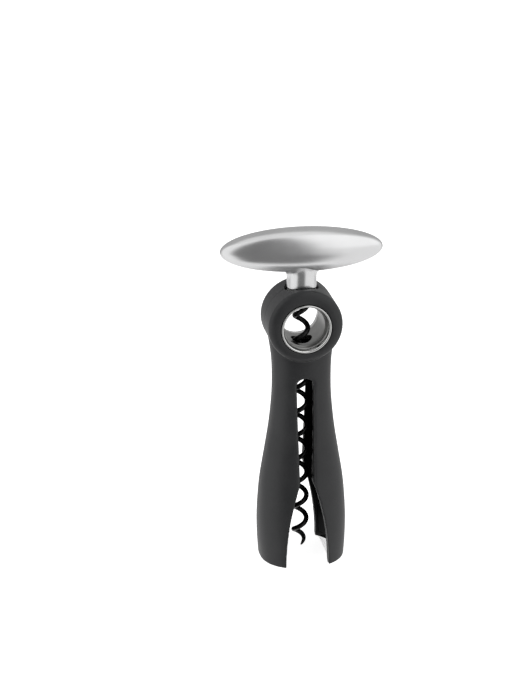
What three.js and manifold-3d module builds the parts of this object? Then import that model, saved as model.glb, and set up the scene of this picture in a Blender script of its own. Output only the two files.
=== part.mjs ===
// A self-pulling corkscrew: a two-legged body that stands over a bottle neck, and a T-handle whose
// stem turns in the top of the body and carries the worm down its middle.
//
// Frame: millimetres, +Z up. The origin is the middle of the footprint, on the surface that the two
// legs stand on. The handle lies along X, and the window and the slots run through along Y. Heights
// here are measured from the rim plane of the bell; the feet reach FOOT_Z below it, and the finished
// group is raised by that much to stand on Z = 0.

import * as THREE from 'three';
import { mergeVertices } from 'three/addons/utils/BufferGeometryUtils.js';
import Module from 'manifold-3d';

// ---------------------------------------------------------------- driving dimensions, mm

const GAP = 0.3;                      // clearance between neighbouring pieces
const FOOT_Z = -1;                    // lowest level of the feet
const BELOW = FOOT_Z - 1;             // cutting tools start here, under everything
const ABOVE = 200;                    // and end here, over everything
const REACH = 40;                     // and reach this far out to every side

// Body: the oval section's half-width (along X) and half-depth (along Y) at each height.
const BODY_SECTIONS = [
  { z: FOOT_Z, x: 23.8, y: 22.9 },
  { z: 10, x: 24.5, y: 22.4 },
  { z: 22, x: 24.7, y: 21.7 },
  { z: 34, x: 24.15, y: 20.6 },
  { z: 46, x: 23.05, y: 19.1 },
  { z: 62, x: 20.5, y: 16.9 },
  { z: 78, x: 18.0, y: 15.0 },
  { z: 94, x: 16.4, y: 13.3 },
  { z: 106, x: 16.05, y: 12.3 },
  { z: 118, x: 16.5, y: 11.6 },
  { z: 132, x: 18.5, y: 11.0 },
];
const BODY_TOP = 132;
const FOOT_ROUND = 0.6;               // rounding of the shells' lower edge
const SHELL_WALL = 1.9;

// Head: a short cylinder along Y at the top of the body, its ends domed by an elliptic round.
const HEAD_Z = 138.5;
const HEAD_RADIUS = 20.15;
const HEAD_HALF_LENGTH = 14;
const HEAD_ROUND_RADIAL = 4.6;
const HEAD_ROUND_AXIAL = 2.9;

// Slot: tapered, through front and back, opening at the bottom into the mouth between the legs.
const MOUTH_HALF_WIDTH = 11.9;
const MOUTH_HEIGHT = 47.5;
const MOUTH_THROAT_HALF_WIDTH = 4.05;
const MOUTH_THROAT_TAPER = 2;         // height over which the mouth's throat closes to the slot
const SLOT_BOTTOM_HALF_WIDTH = 3.7;
const SLOT_TOP_HALF_WIDTH = 4.5;
const SLOT_TOP = 107.9;
const SLOT_CORNER = 3.8;

// Bell: the hollow that takes the bottle neck. Above it the cork chamber, with the step between
// them that the bottle's lip stops on.
const BELL_SECTIONS = [
  { z: BELOW, x: 20.4, y: 20.4 },
  { z: 1.5, x: 18.8, y: 18.8 },
  { z: 20, x: 18.1, y: 18.0 },
  { z: 34, x: 16.6, y: 16.2 },
  { z: 45, x: 15.2, y: 15.2 },
];
const LIP_STOP_Z = 45;
const CHAMBER_SECTIONS = [
  { z: LIP_STOP_Z - 1, x: 11.3, y: 11.3 },
  { z: 74, x: 11.3, y: 11.3 },
  { z: 90, x: 11.2, y: 10.2 },
  { z: 102, x: 10.8, y: 9.0 },
  { z: 108, x: 8.2, y: 7.0 },
];
const CHAMBER_TOP = 108;

// Neck guides: a glossy liner let into the inner face of each leg.
const GUIDE_WALL = 1.0;
const GUIDE_BOTTOM = 3;
const GUIDE_TOP = 43;
const GUIDE_HALF_DEPTH = 13;

// Window: a round hole through the head, lined by a steel sleeve with a ring at each end.
const WINDOW_Z = 137.7;
const RING_RADIUS = 13.5;
const RING_FACE_Y = 14.25;
const RING_FLANGE = 1.6;
const RING_MOUTH_RADIUS = 12.2;
const RING_FRONT_BORE_RADIUS = 11.9;
const RING_BEVEL = 0.25;
const RING_INNER_Y = 9.3;
const SLEEVE_RADIUS = 13.1;
const SLEEVE_BORE_RADIUS = 11;
const SLEEVE_HALF_LENGTH = 9;
const SLEEVE_WORM_HOLE_RADIUS = 5.7;

// Guide bush for the worm, in the web between the window and the slot.
const BUSH_RADIUS = 7.6;
const BUSH_BORE_RADIUS = 5.4;
const BUSH_BOTTOM = 112.5;
const BUSH_TOP = 124;
const WEB_HOLE_RADIUS = 5.7;

// Thrust seat and washer, in the recess in the top of the head, under the stem.
const RECESS_RADIUS = 9;
const RECESS_FLOOR = 153.4;
const SEAT_RADIUS = 8.6;
const SEAT_BORE_RADIUS = BUSH_BORE_RADIUS;
const SEAT_HEIGHT = 1;
const WASHER_RADIUS = 7.6;
const WASHER_HEIGHT = 1;

// Handle: an ellipsoidal grip cast in one with its stem.
const GRIP_Z = 178;
const GRIP_HALF_LENGTH = 43.4;
const GRIP_RADIUS = 12;
const GRIP_TURN = THREE.MathUtils.degToRad(-3.6);   // the handle as left, just off the X axis
const STEM_RADIUS = 8;
const STEM_FOOT_Z = RECESS_FLOOR + SEAT_HEIGHT + WASHER_HEIGHT + 3 * GAP;
const STEM_FOOT_ROUND = 1.5;
const STEM_FLARE_FROM = 161;
const STEM_TOP_Z = GRIP_Z - 9.8;      // the stem ends inside the grip
const STEM_FLARE_RADIUS = 9.4;

// Worm: a right-handed coil that tapers to a point below and bends into its plug above.
const WIRE_RADIUS = 1.4;
const COIL_RADIUS = 3.5;
const COIL_PITCH = 14.24;
const COIL_PHASE_Z = 19.56;           // height at which the coil passes the phase direction
const COIL_PHASE = THREE.MathUtils.degToRad(-12);
const COIL_TIP_TURN = -1.17;          // turns below the phase height at which the point ends
const COIL_TIP_RADIUS = 0.8;
const COIL_OPEN_TURN = -0.65;         // the coil has its full radius from here up
const WIRE_FULL_TURN = -0.8;          // and the wire its full thickness from here up
const WORM_LEAN = -0.5;               // the point hangs this far off the axis, along X
const COIL_TOP_Z = 149.5;             // above this the wire bends in to the axis
const SHANK_FROM_Z = 155.2;
const SHANK_TOP_Z = 166.5;
const POINT_RADIUS = 0.15;

// Plug that holds the worm's shank in the stem.
const PLUG_RADIUS = 5.6;
const PLUG_BOTTOM = 157;
const PLUG_TOP = 168;

const ROUND_SEGMENTS = 30;
const SMALL_SEGMENTS = 20;

// ---------------------------------------------------------------- solids

const wasm = await Module();
wasm.setup();

// A closed three.js geometry as a solid: shared vertices merged, collapsed triangles dropped, and
// the faces turned outwards.
function solidOf(geometry) {
  const bare = geometry.clone();
  bare.deleteAttribute('normal');
  bare.deleteAttribute('uv');
  const merged = mergeVertices(bare, 1e-4);
  const at = merged.attributes.position;
  const triangles = [];
  const corner = [new THREE.Vector3(), new THREE.Vector3(), new THREE.Vector3()];
  let volume = 0;
  for (let i = 0; i < merged.index.count; i += 3) {
    const [a, b, c] = [0, 1, 2].map((k) => merged.index.getX(i + k));
    if (a === b || b === c || c === a) continue;
    triangles.push(a, b, c);
    [a, b, c].forEach((vertex, k) => corner[k].fromBufferAttribute(at, vertex));
    volume += corner[0].dot(corner[1].cross(corner[2]));
  }
  if (volume < 0) triangles.reverse();
  return new wasm.Manifold(new wasm.Mesh({
    numProp: 3,
    vertProperties: new Float32Array(at.array),
    triVerts: new Uint32Array(triangles),
  }));
}

function geometryOf(solid) {
  const { vertProperties, triVerts } = solid.getMesh();
  const geometry = new THREE.BufferGeometry();
  geometry.setAttribute('position', new THREE.BufferAttribute(vertProperties, 3));
  geometry.setIndex(new THREE.BufferAttribute(triVerts, 1));
  return geometry;
}

// Half-sizes of an oval section at height z, on smooth curves through the listed sections.
function sectionCurves(sections) {
  const through = (key) => new THREE.SplineCurve(sections.map((s) => new THREE.Vector2(s.z, s[key])));
  const [widths, depths] = [through('x'), through('y')];
  return (z) => {
    let low = 0;
    let high = 1;
    for (let k = 0; k < 30; k += 1) {
      const mid = (low + high) / 2;
      if (widths.getPoint(mid).x < z) low = mid;
      else high = mid;
    }
    return { x: widths.getPoint(low).y, y: depths.getPoint(low).y };
  };
}

// An upright solid of oval section between two heights. The inset pulls its wall in; the foot
// round rolls its lower edge.
function ovalSolid(sectionAt, from, to, { inset = 0, footRound = 0, steps = 11 } = {}) {
  const heights = [];
  if (footRound > 0) heights.push(from, from + footRound * 0.3);
  const start = from + footRound;
  for (let k = 0; k <= steps; k += 1) heights.push(start + ((to - start) * k) / steps);
  const pull = (z) => {
    const below = Math.max(0, start - z);
    return inset + footRound - Math.sqrt(Math.max(0, footRound ** 2 - below ** 2));
  };
  const outline = heights.map((z) => new THREE.Vector2(sectionAt(z).x - pull(z), z));
  outline.unshift(new THREE.Vector2(0, from));
  outline.push(new THREE.Vector2(0, to));
  const geometry = new THREE.LatheGeometry(outline, ROUND_SEGMENTS).rotateX(Math.PI / 2);
  const at = geometry.attributes.position;
  for (let i = 0; i < at.count; i += 1) {
    const z = at.getZ(i);
    const section = sectionAt(z);
    at.setY(i, (at.getY(i) * (section.y - pull(z))) / (section.x - pull(z)));
  }
  return solidOf(geometry);
}

// A solid turned about a vertical axis, from [radius, height] points that start and end on it.
function turnedUpright(points, segments = SMALL_SEGMENTS) {
  const outline = points.map(([radius, z]) => new THREE.Vector2(radius, z));
  return solidOf(new THREE.LatheGeometry(outline, segments).rotateX(Math.PI / 2));
}

// A solid turned about the line along Y at the given height, from [radius, y] points.
function turnedAcross(points, z, segments = ROUND_SEGMENTS) {
  const outline = points.map(([radius, y]) => new THREE.Vector2(radius, y));
  return solidOf(new THREE.LatheGeometry(outline, segments).translate(0, 0, z));
}

const uprightDisc = (radius, from, to) => turnedUpright([[0, from], [radius, from], [radius, to], [0, to]]);

const uprightRing = (outer, inner, from, to) =>
  turnedUpright([[inner, from], [outer, from], [outer, to], [inner, to], [inner, from]]);

const crossDisc = (radius, halfLength, z) =>
  turnedAcross([[0, -halfLength], [radius, -halfLength], [radius, halfLength], [0, halfLength]], z);

function block(x, y, z) {
  const geometry = new THREE.BoxGeometry(x[1] - x[0], y[1] - y[0], z[1] - z[0]);
  return solidOf(geometry.translate((x[0] + x[1]) / 2, (y[0] + y[1]) / 2, (z[0] + z[1]) / 2));
}

// ---------------------------------------------------------------- shared forms

const bodyAt = sectionCurves(BODY_SECTIONS);
const bellAt = sectionCurves(BELL_SECTIONS);
const chamberAt = sectionCurves(CHAMBER_SECTIONS);

// The body and its head together, pulled in all over by the inset.
function outerForm(inset, footRound = 0) {
  const rounds = 3;
  const edge = [];
  for (let k = 0; k <= rounds; k += 1) {
    const turn = (k / rounds) * (Math.PI / 2);
    edge.push([
      HEAD_RADIUS - HEAD_ROUND_RADIAL + (HEAD_ROUND_RADIAL - inset) * Math.cos(turn),
      HEAD_HALF_LENGTH - HEAD_ROUND_AXIAL + (HEAD_ROUND_AXIAL - inset) * Math.sin(turn),
    ]);
  }
  const front = edge.map(([radius, y]) => [radius, -y]).reverse();
  const face = HEAD_HALF_LENGTH - inset;
  const head = turnedAcross([[0, -face], ...front, ...edge, [0, face]], HEAD_Z, 36);
  return ovalSolid(bodyAt, FOOT_Z, BODY_TOP, { inset, footRound }).add(head);
}

// The slot and the mouth below it, as one outline in X and Z, run through along Y.
function slotForm() {
  const shape = new THREE.Shape();
  const cornerZ = SLOT_TOP - SLOT_CORNER;
  const cornerX = SLOT_TOP_HALF_WIDTH - SLOT_CORNER;
  const slotFromZ = MOUTH_HEIGHT + MOUTH_THROAT_TAPER;
  shape.moveTo(-MOUTH_HALF_WIDTH, BELOW);
  shape.lineTo(MOUTH_HALF_WIDTH, BELOW);
  shape.lineTo(MOUTH_HALF_WIDTH, 0);
  shape.quadraticCurveTo(MOUTH_HALF_WIDTH, MOUTH_HEIGHT / 2, MOUTH_THROAT_HALF_WIDTH, MOUTH_HEIGHT);
  shape.lineTo(SLOT_BOTTOM_HALF_WIDTH, slotFromZ);
  shape.lineTo(SLOT_TOP_HALF_WIDTH, cornerZ);
  shape.absarc(cornerX, cornerZ, SLOT_CORNER, 0, Math.PI / 2);
  shape.absarc(-cornerX, cornerZ, SLOT_CORNER, Math.PI / 2, Math.PI);
  shape.lineTo(-SLOT_BOTTOM_HALF_WIDTH, slotFromZ);
  shape.lineTo(-MOUTH_THROAT_HALF_WIDTH, MOUTH_HEIGHT);
  shape.quadraticCurveTo(-MOUTH_HALF_WIDTH, MOUTH_HEIGHT / 2, -MOUTH_HALF_WIDTH, 0);
  const settings = { depth: 2 * REACH, bevelEnabled: false, curveSegments: 5 };
  const geometry = new THREE.ExtrudeGeometry(shape, settings);
  return solidOf(geometry.rotateX(Math.PI / 2).translate(0, REACH, 0));
}

const slot = slotForm();

// ---------------------------------------------------------------- the pieces that stand still

// One half of the soft-touch outer shell; side is -1 for the front and +1 for the back.
function shell(side) {
  const half = side < 0
    ? block([-REACH, REACH], [-REACH, -GAP / 2], [BELOW, ABOVE])
    : block([-REACH, REACH], [GAP / 2, REACH], [BELOW, ABOVE]);
  return outerForm(0, FOOT_ROUND)
    .subtract(outerForm(SHELL_WALL))
    .intersect(half)
    .subtract(slot)
    .subtract(crossDisc(RING_RADIUS + GAP, REACH, WINDOW_Z))
    .subtract(uprightDisc(RECESS_RADIUS, RECESS_FLOOR - 2, ABOVE));
}

// The load-bearing fork: two legs, the web that guides the worm, and the hub round the window.
function frameFork() {
  const bell = ovalSolid(bellAt, BELOW, LIP_STOP_Z, { steps: 5 });
  const chamber = ovalSolid(chamberAt, LIP_STOP_Z - 1, CHAMBER_TOP, { steps: 5 });
  return outerForm(SHELL_WALL + GAP)
    .subtract(bell)
    .subtract(chamber)
    .subtract(guideBand(GUIDE_WALL + GAP, GAP))
    .subtract(slot)
    .subtract(crossDisc(SLEEVE_RADIUS + GAP, REACH, WINDOW_Z))
    .subtract(uprightDisc(WEB_HOLE_RADIUS, SLOT_TOP - SLOT_CORNER, RECESS_FLOOR + 1))
    .subtract(uprightDisc(BUSH_RADIUS + GAP, BUSH_BOTTOM - GAP, WINDOW_Z))
    .subtract(uprightDisc(RECESS_RADIUS, RECESS_FLOOR, ABOVE));
}

// The band of the bell's wall that the neck guides fill, thicker and wider by the clearances.
function guideBand(wall, clearance) {
  const from = GUIDE_BOTTOM - clearance;
  const to = GUIDE_TOP + clearance;
  const halfDepth = GUIDE_HALF_DEPTH + clearance;
  return ovalSolid(bellAt, from, to, { inset: -wall, steps: 5 })
    .intersect(block([-REACH, REACH], [-halfDepth, halfDepth], [BELOW, ABOVE]));
}

function neckGuide(side) {
  const across = side < 0 ? [-REACH, 0] : [0, REACH];
  return guideBand(GUIDE_WALL, 0)
    .subtract(ovalSolid(bellAt, BELOW, LIP_STOP_Z, { steps: 5 }))
    .intersect(block(across, [-REACH, REACH], [BELOW, ABOVE]));
}

// One trim ring of the window: a flange that shows on the face and a short tube behind it.
function windowRing(side) {
  const flangeY = RING_FACE_Y - RING_FLANGE;
  const boreRadius = side < 0 ? RING_FRONT_BORE_RADIUS : SLEEVE_BORE_RADIUS;
  return turnedAcross([
    [boreRadius, side * RING_INNER_Y],
    [SLEEVE_RADIUS, side * RING_INNER_Y],
    [SLEEVE_RADIUS, side * flangeY],
    [RING_RADIUS, side * flangeY],
    [RING_RADIUS, side * (RING_FACE_Y - RING_BEVEL)],
    [RING_RADIUS - RING_BEVEL, side * RING_FACE_Y],
    [RING_MOUTH_RADIUS + RING_BEVEL, side * RING_FACE_Y],
    [RING_MOUTH_RADIUS, side * (RING_FACE_Y - RING_BEVEL)],
    [boreRadius, side * RING_INNER_Y],
  ], WINDOW_Z);
}

function windowSleeve() {
  const tube = turnedAcross([
    [SLEEVE_BORE_RADIUS, -SLEEVE_HALF_LENGTH],
    [SLEEVE_RADIUS, -SLEEVE_HALF_LENGTH],
    [SLEEVE_RADIUS, SLEEVE_HALF_LENGTH],
    [SLEEVE_BORE_RADIUS, SLEEVE_HALF_LENGTH],
    [SLEEVE_BORE_RADIUS, -SLEEVE_HALF_LENGTH],
  ], WINDOW_Z);
  return tube.subtract(uprightDisc(SLEEVE_WORM_HOLE_RADIUS, BELOW, ABOVE));
}

const wormGuideBush = () => uprightRing(BUSH_RADIUS, BUSH_BORE_RADIUS, BUSH_BOTTOM, BUSH_TOP);

const thrustSeat = () =>
  uprightRing(SEAT_RADIUS, SEAT_BORE_RADIUS, RECESS_FLOOR + GAP, RECESS_FLOOR + GAP + SEAT_HEIGHT);

// ---------------------------------------------------------------- the pieces that lift and turn

function thrustWasher() {
  const from = RECESS_FLOOR + SEAT_HEIGHT + 2 * GAP;
  return uprightRing(WASHER_RADIUS, SEAT_BORE_RADIUS, from, from + WASHER_HEIGHT);
}

function handle() {
  const grip = new THREE.SphereGeometry(1, 28, 18)
    .rotateZ(Math.PI / 2)
    .scale(GRIP_HALF_LENGTH, GRIP_RADIUS, GRIP_RADIUS)
    .rotateZ(GRIP_TURN)
    .translate(0, 0, GRIP_Z);
  const outline = new THREE.Path();
  outline.moveTo(0, STEM_FOOT_Z);
  outline.lineTo(STEM_RADIUS - STEM_FOOT_ROUND, STEM_FOOT_Z);
  const roundX = STEM_RADIUS - STEM_FOOT_ROUND;
  outline.absarc(roundX, STEM_FOOT_Z + STEM_FOOT_ROUND, STEM_FOOT_ROUND, -Math.PI / 2, 0);
  outline.lineTo(STEM_RADIUS, STEM_FLARE_FROM);
  const bendZ = (STEM_FLARE_FROM + STEM_TOP_Z) / 2;
  outline.quadraticCurveTo(STEM_RADIUS, bendZ, STEM_FLARE_RADIUS, STEM_TOP_Z);
  outline.lineTo(0, STEM_TOP_Z);
  const points = outline.getPoints(5).map((p) => [Math.max(0, p.x), p.y]);
  return solidOf(grip)
    .add(turnedUpright(points, ROUND_SEGMENTS))
    .subtract(uprightDisc(PLUG_RADIUS + GAP, STEM_FOOT_Z - 1, PLUG_TOP + GAP));
}

function wormPlug() {
  return uprightDisc(PLUG_RADIUS, PLUG_BOTTOM, PLUG_TOP)
    .subtract(uprightDisc(WIRE_RADIUS + GAP, PLUG_BOTTOM - 1, SHANK_TOP_Z + GAP));
}

// The worm's centre line: from the point near the axis, up the coil, and in to the straight shank.
class WormCurve extends THREE.Curve {
  constructor() {
    super();
    this.from = COIL_PHASE_Z + COIL_TIP_TURN * COIL_PITCH;
  }

  heightAt(t) {
    return THREE.MathUtils.lerp(this.from, SHANK_TOP_Z, t);
  }

  radiusAt(z) {
    const openedAt = COIL_PHASE_Z + COIL_OPEN_TURN * COIL_PITCH;
    const opened = THREE.MathUtils.smoothstep(z, this.from - 2, openedAt);
    const closed = THREE.MathUtils.smoothstep(z, COIL_TOP_Z, SHANK_FROM_Z);
    return THREE.MathUtils.lerp(COIL_TIP_RADIUS, COIL_RADIUS, opened) * (1 - closed);
  }

  getPoint(t, target = new THREE.Vector3()) {
    const z = this.heightAt(t);
    const angle = COIL_PHASE + (2 * Math.PI * (z - COIL_PHASE_Z)) / COIL_PITCH;
    const radius = this.radiusAt(z);
    const lean = WORM_LEAN * Math.max(0, 1 - z / SHANK_FROM_Z);
    return target.set(lean + radius * Math.cos(angle), radius * Math.sin(angle), z);
  }
}

// The wire's own radius along its height: full on the coil, ground away to the point below.
function wireRadiusAt(z) {
  const tip = COIL_PHASE_Z + COIL_TIP_TURN * COIL_PITCH;
  const full = COIL_PHASE_Z + WIRE_FULL_TURN * COIL_PITCH;
  const share = THREE.MathUtils.clamp((z - tip) / (full - tip), 0, 1);
  return THREE.MathUtils.lerp(POINT_RADIUS, WIRE_RADIUS, Math.sqrt(share));
}

function worm() {
  const curve = new WormCurve();
  const steps = 150;
  const sides = 6;
  const section = new THREE.Shape().absarc(0, 0, WIRE_RADIUS, 0, 2 * Math.PI);
  const settings = { steps, curveSegments: sides / 2, extrudePath: curve };
  const geometry = new THREE.ExtrudeGeometry(section, settings);
  const stations = curve.getSpacedPoints(steps);
  const at = geometry.attributes.position;
  const vertex = new THREE.Vector3();
  for (let i = 0; i < at.count; i += 1) {
    vertex.fromBufferAttribute(at, i);
    const distance = (p) => p.distanceToSquared(vertex);
    const own = stations.reduce((best, p) => (distance(p) < distance(best) ? p : best));
    vertex.sub(own).multiplyScalar(wireRadiusAt(own.z) / WIRE_RADIUS).add(own);
    at.setXYZ(i, vertex.x, vertex.y, vertex.z);
  }
  return solidOf(geometry);
}

// ---------------------------------------------------------------- materials and assembly

const finish = (color, roughness, metalness) =>
  new THREE.MeshStandardMaterial({ color, roughness, metalness });

const SOFT_TOUCH = finish(0x35373a, 0.55, 0);
const BLACK_NYLON = finish(0x1c1c1e, 0.4, 0);
const GLOSS_BLACK = finish(0x141416, 0.18, 0);
const POLISHED_STEEL = finish(0xd8d8d6, 0.18, 1);
const SATIN_STEEL = finish(0xb4b4b2, 0.38, 1);
const SATIN_ALUMINIUM = finish(0xc4c5c7, 0.32, 1);
const COATED_STEEL = finish(0x17171a, 0.3, 0.2);

const pieces = [
  ['frame_fork', frameFork(), BLACK_NYLON],
  ['shell_front', shell(-1), SOFT_TOUCH],
  ['shell_back', shell(1), SOFT_TOUCH],
  ['neck_guide_left', neckGuide(-1), GLOSS_BLACK],
  ['neck_guide_right', neckGuide(1), GLOSS_BLACK],
  ['worm_guide_bush', wormGuideBush(), BLACK_NYLON],
  ['window_ring_front', windowRing(-1), POLISHED_STEEL],
  ['window_sleeve', windowSleeve(), SATIN_STEEL],
  ['window_ring_back', windowRing(1), POLISHED_STEEL],
  ['thrust_seat', thrustSeat(), SATIN_STEEL],
  ['thrust_washer', thrustWasher(), SATIN_STEEL],
  ['handle', handle(), SATIN_ALUMINIUM],
  ['worm_plug', wormPlug(), SATIN_STEEL],
  ['worm', worm(), COATED_STEEL],
];

const corkscrew = new THREE.Group();
corkscrew.position.z = -FOOT_Z;
for (const [name, solid, material] of pieces) {
  const mesh = new THREE.Mesh(geometryOf(solid), material);
  mesh.name = name;
  corkscrew.add(mesh);
}

export default corkscrew;
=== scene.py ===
"""A self-pulling corkscrew, finished round its fixed frame.

The body is two soft-touch shells over a black fork. A steel-lined window runs through its head,
and a satin T-handle turns in the top of it and carries the coated worm down the middle.
Sizes are in millimetres on the classes, and metres in the scene. +Z is up, the handle lies along X.
Heights on the classes are measured from the rim plane of the bell, which is 1 mm above the feet, and
each finished piece is raised by that much to stand on the floor.
"""

import logging
import math
from contextlib import contextmanager
from dataclasses import dataclass
from enum import Enum
from itertools import pairwise
from typing import Iterator, Sequence

import bpy
from mathutils import Matrix, Vector


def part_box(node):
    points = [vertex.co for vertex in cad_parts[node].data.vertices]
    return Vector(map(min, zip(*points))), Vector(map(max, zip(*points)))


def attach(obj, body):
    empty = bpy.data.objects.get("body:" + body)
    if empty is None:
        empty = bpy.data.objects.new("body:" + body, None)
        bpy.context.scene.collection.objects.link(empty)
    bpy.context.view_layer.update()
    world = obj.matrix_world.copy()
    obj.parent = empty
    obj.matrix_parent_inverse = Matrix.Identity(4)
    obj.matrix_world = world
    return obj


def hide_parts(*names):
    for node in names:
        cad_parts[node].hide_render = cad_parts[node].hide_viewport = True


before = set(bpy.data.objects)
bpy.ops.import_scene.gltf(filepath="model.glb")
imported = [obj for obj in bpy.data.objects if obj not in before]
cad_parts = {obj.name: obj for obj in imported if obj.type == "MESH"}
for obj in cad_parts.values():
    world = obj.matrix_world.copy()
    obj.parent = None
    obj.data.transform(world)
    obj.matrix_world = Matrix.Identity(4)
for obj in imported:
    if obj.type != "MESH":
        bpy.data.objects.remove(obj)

MM = 0.001
FOOT_Z = -1.0
WINDOW_Z = 137.7
CLEARANCE = 0.3
# Further than any side of the corkscrew, for tools that cut right through it.
BEYOND = 200.0
WHITE = (1.0, 1.0, 1.0, 1.0)
log = logging.getLogger("corkscrew")

Point = tuple[float, float]
Triple = tuple[float, float, float]
Piece = bpy.types.Object
Material = bpy.types.Material
Socket = bpy.types.NodeSocket


def ease(t: float) -> float:
    """A smooth step from 0 to 1 as t goes from 0 to 1."""
    t = min(1.0, max(0.0, t))
    return t * t * (3 - 2 * t)


def between(start: "float | Wire", end: "float | Wire", share: "float | Wire") -> "float | Wire":
    """The value a share of the way from start to end, for numbers and wires alike."""
    return start + (end - start) * share


# ------------------------------------------------------------------ shader building


class Wire:
    """A shader socket that takes part in Python arithmetic, one Math node for each operation."""

    def __init__(self, sheet: "Sheet", socket: Socket) -> None:
        """Keep the socket and the sheet that its nodes go on."""
        self.sheet = sheet
        self.socket = socket

    def __add__(self, other: "Wire | float") -> "Wire":
        """This value plus another."""
        return self.sheet.math("ADD", self, other)

    def __radd__(self, other: float) -> "Wire":
        """A number plus this value."""
        return self.sheet.math("ADD", other, self)

    def __sub__(self, other: "Wire | float") -> "Wire":
        """This value less another."""
        return self.sheet.math("SUBTRACT", self, other)

    def __rsub__(self, other: float) -> "Wire":
        """A number less this value."""
        return self.sheet.math("SUBTRACT", other, self)

    def __mul__(self, other: "Wire | float") -> "Wire":
        """This value times another."""
        return self.sheet.math("MULTIPLY", self, other)

    def __rmul__(self, other: float) -> "Wire":
        """A number times this value."""
        return self.sheet.math("MULTIPLY", other, self)

    def rise(self, low: float, high: float) -> "Wire":
        """A smooth step.

        Args:
            low: The value at which the step starts from 0.
            high: The value at which it has reached 1.

        Returns:
            The step's height, from 0 to 1.
        """
        inputs = {"Value": self, "From Min": low, "From Max": high}
        node = self.sheet.node("ShaderNodeMapRange", inputs, interpolation_type="SMOOTHSTEP")
        return Wire(self.sheet, node.outputs["Result"])

    def band(self, low: float, high: float, soft: float) -> "Wire":
        """A window that is 1 between two values and falls to 0 over a soft edge on each side.

        Args:
            low: The middle of the rising edge.
            high: The middle of the falling edge.
            soft: Half the width of each edge.

        Returns:
            The window's height, from 0 to 1.
        """
        return self.rise(low - soft, low + soft) * (1.0 - self.rise(high - soft, high + soft))


class Sheet:
    """One node tree that a finish is drawn on."""

    def __init__(self, tree: bpy.types.NodeTree) -> None:
        """Start from an empty tree."""
        self.tree = tree
        tree.nodes.clear()

    def node(self, kind: str, inputs: dict | None = None, **settings: object) -> bpy.types.Node:
        """Add a node.

        Args:
            kind: The node's type.
            inputs: Values or links by socket name or number.
            settings: Its properties, set before its sockets.

        Returns:
            The new node.
        """
        made = self.tree.nodes.new(kind)
        for name, value in settings.items():
            setattr(made, name, value)
        for name, value in (inputs or {}).items():
            socket = made.inputs[name]
            if isinstance(value, Wire):
                self.tree.links.new(value.socket, socket)
            elif isinstance(value, Socket):
                self.tree.links.new(value, socket)
            else:
                socket.default_value = value
        return made

    def math(self, operation: str, *values: "Wire | float") -> Wire:
        """A Math node of the given operation on values or wires."""
        node = self.node("ShaderNodeMath", dict(enumerate(values)), operation=operation)
        return Wire(self, node.outputs[0])

    def place(self) -> Socket:
        """Object coordinates, which at rest are the corkscrew's own frame in metres."""
        return self.node("ShaderNodeTexCoord").outputs["Object"]

    def axes(self, at: Socket | None = None) -> tuple[Wire, Wire, Wire]:
        """The x, y and z of a position, which is the object's own unless another is given."""
        parts = self.node("ShaderNodeSeparateXYZ", {0: at or self.place()})
        return tuple(Wire(self, socket) for socket in parts.outputs)

    def stretched(self, scale: Triple) -> Socket:
        """Object coordinates scaled by a different amount along each axis."""
        node = self.node("ShaderNodeMapping", {"Vector": self.place(), "Scale": scale})
        return node.outputs[0]

    def noise(self, scale: float, detail: float = 3.0, at: Socket | None = None) -> Wire:
        """Noise with a feature every 1 / scale metres.

        Args:
            scale: Features in a metre.
            detail: Octaves of finer noise.
            at: Coordinates to read in place of the object's own.

        Returns:
            The noise, about 0.5 on average.
        """
        inputs = {"Vector": at or self.place(), "Scale": scale, "Detail": detail}
        return Wire(self, self.node("ShaderNodeTexNoise", inputs).outputs["Fac"])

    def blend(self, share: Wire, low: Triple | Socket, high: Triple) -> Socket:
        """A colour from low to high, by a share from 0 to 1."""
        start = low if isinstance(low, Socket) else (*low, 1.0)
        inputs = {"Factor": share, 6: start, 7: (*high, 1.0)}
        return self.node("ShaderNodeMix", inputs, data_type="RGBA").outputs[2]

    def radius_about(self, axis: "Axis", centre_z: float = 0.0) -> Wire:
        """The distance of a point from a piece's turning axis.

        Args:
            axis: The axis that the piece was turned about.
            centre_z: The height of a level axis, in metres.

        Returns:
            The distance in metres.
        """
        x, y, z = self.axes()
        side = y if axis is Axis.UP else z - centre_z
        return self.math("SQRT", x * x + side * side)

    def bump(self, height: Wire, distance: float, strength: float = 1.0) -> Socket:
        """A bumped normal from a height, whose full range is the given distance in metres."""
        inputs = {"Height": height, "Distance": distance, "Strength": strength}
        return self.node("ShaderNodeBump", inputs).outputs[0]

    def surface(self, values: dict) -> None:
        """Close the material with a Principled shader that has the given socket values and links."""
        shader = self.node("ShaderNodeBsdfPrincipled", values)
        self.node("ShaderNodeOutputMaterial", {"Surface": shader.outputs[0]})


class Axis(Enum):
    """The line that a piece is turned about or lofted along."""

    UP = "Z"
    ACROSS = "Y"


def new_material(name: str) -> tuple[Material, Sheet]:
    """A material with an empty node sheet."""
    material = bpy.data.materials.new(name)
    material.use_nodes = True
    return material, Sheet(material.node_tree)


class Finish:
    """A named look that is drawn on a material's sheet."""

    def make(self) -> Material:
        """Draw the finish and return its material."""
        material, sheet = new_material(self.name)
        self.draw(sheet)
        return material


# ------------------------------------------------------------------ finishes


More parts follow.
